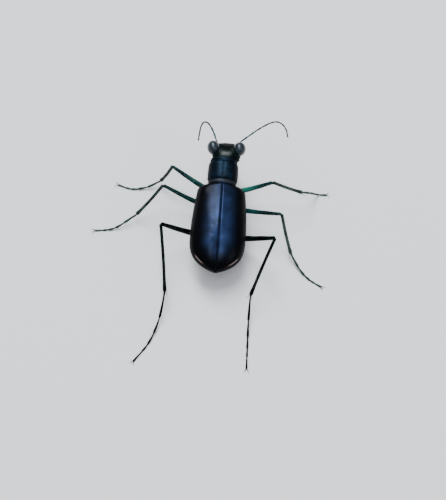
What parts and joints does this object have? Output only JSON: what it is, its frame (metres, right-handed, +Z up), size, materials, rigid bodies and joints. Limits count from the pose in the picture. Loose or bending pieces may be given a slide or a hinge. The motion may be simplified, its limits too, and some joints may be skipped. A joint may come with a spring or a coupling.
{
  "type": "tiger beetle",
  "caption": "Life-size still tiger beetle with big eyes, sickle jaws, smooth dark wing cases and long thin legs, standing on its feet.",
  "frame": {"origin": "on the floor, under the middle of the box that holds the whole animal", "axes": "+Y the way the beetle faces, +Z up, +X to its right"},
  "size_m": [0.0202, 0.0218, 0.006],
  "materials": {
    "wing_case": "smooth glossy chitin, blue-black with a grey-blue sheen",
    "fore_body": "finely wrinkled glossy chitin, teal-black with blue",
    "leg": "glossy chitin, dark metallic green",
    "hind_leg": "glossy chitin, near black with green glints, white setae",
    "feeler_stem": "glossy chitin, dark green",
    "feeler_end": "dull chitin under fine pubescence, dark brown-grey",
    "eye": "facetted glossy cornea, near black with a grey-blue glint",
    "lip": "smooth ivory chitin",
    "jaw": "smooth dark brown chitin, paler at the root",
    "abdomen": "glossy thin chitin, dark red-brown"
  },
  "bodies": {
    "root": {"abdomen": "abdomen", "cheek_palp_left": "feeler_stem", "cheek_palp_right": "feeler_stem", "chin_palp_left": "lip", "chin_palp_right": "lip", "eye_left": "eye", "eye_right": "eye", "feeler_end_left": "feeler_end", "feeler_end_right": "feeler_end", "feeler_stem_left": "feeler_stem", "feeler_stem_right": "feeler_stem", "foot_front_left": "leg", "foot_front_right": "leg", "foot_hind_left": "hind_leg", "foot_hind_right": "hind_leg", "foot_middle_left": "leg", "foot_middle_right": "leg", "head": "fore_body", "hip_front_left": "leg", "hip_front_right": "leg", "hip_hind_left": "hind_leg", "hip_hind_right": "hind_leg", "hip_middle_left": "leg", "hip_middle_right": "leg", "jaw_left": "jaw", "jaw_right": "jaw", "neck_shield": "fore_body", "scutellum": "fore_body", "shin_front_left": "leg", "shin_front_right": "leg", "shin_hind_left": "hind_leg", "shin_hind_right": "hind_leg", "shin_middle_left": "leg", "shin_middle_right": "leg", "thigh_front_left": "leg", "thigh_front_right": "leg", "thigh_hind_left": "hind_leg", "thigh_hind_right": "hind_leg", "thigh_middle_left": "leg", "thigh_middle_right": "leg", "thorax": "fore_body", "upper_lip": "lip", "wing_case_left": "wing_case", "wing_case_right": "wing_case"}
  },
  "joints": []
}
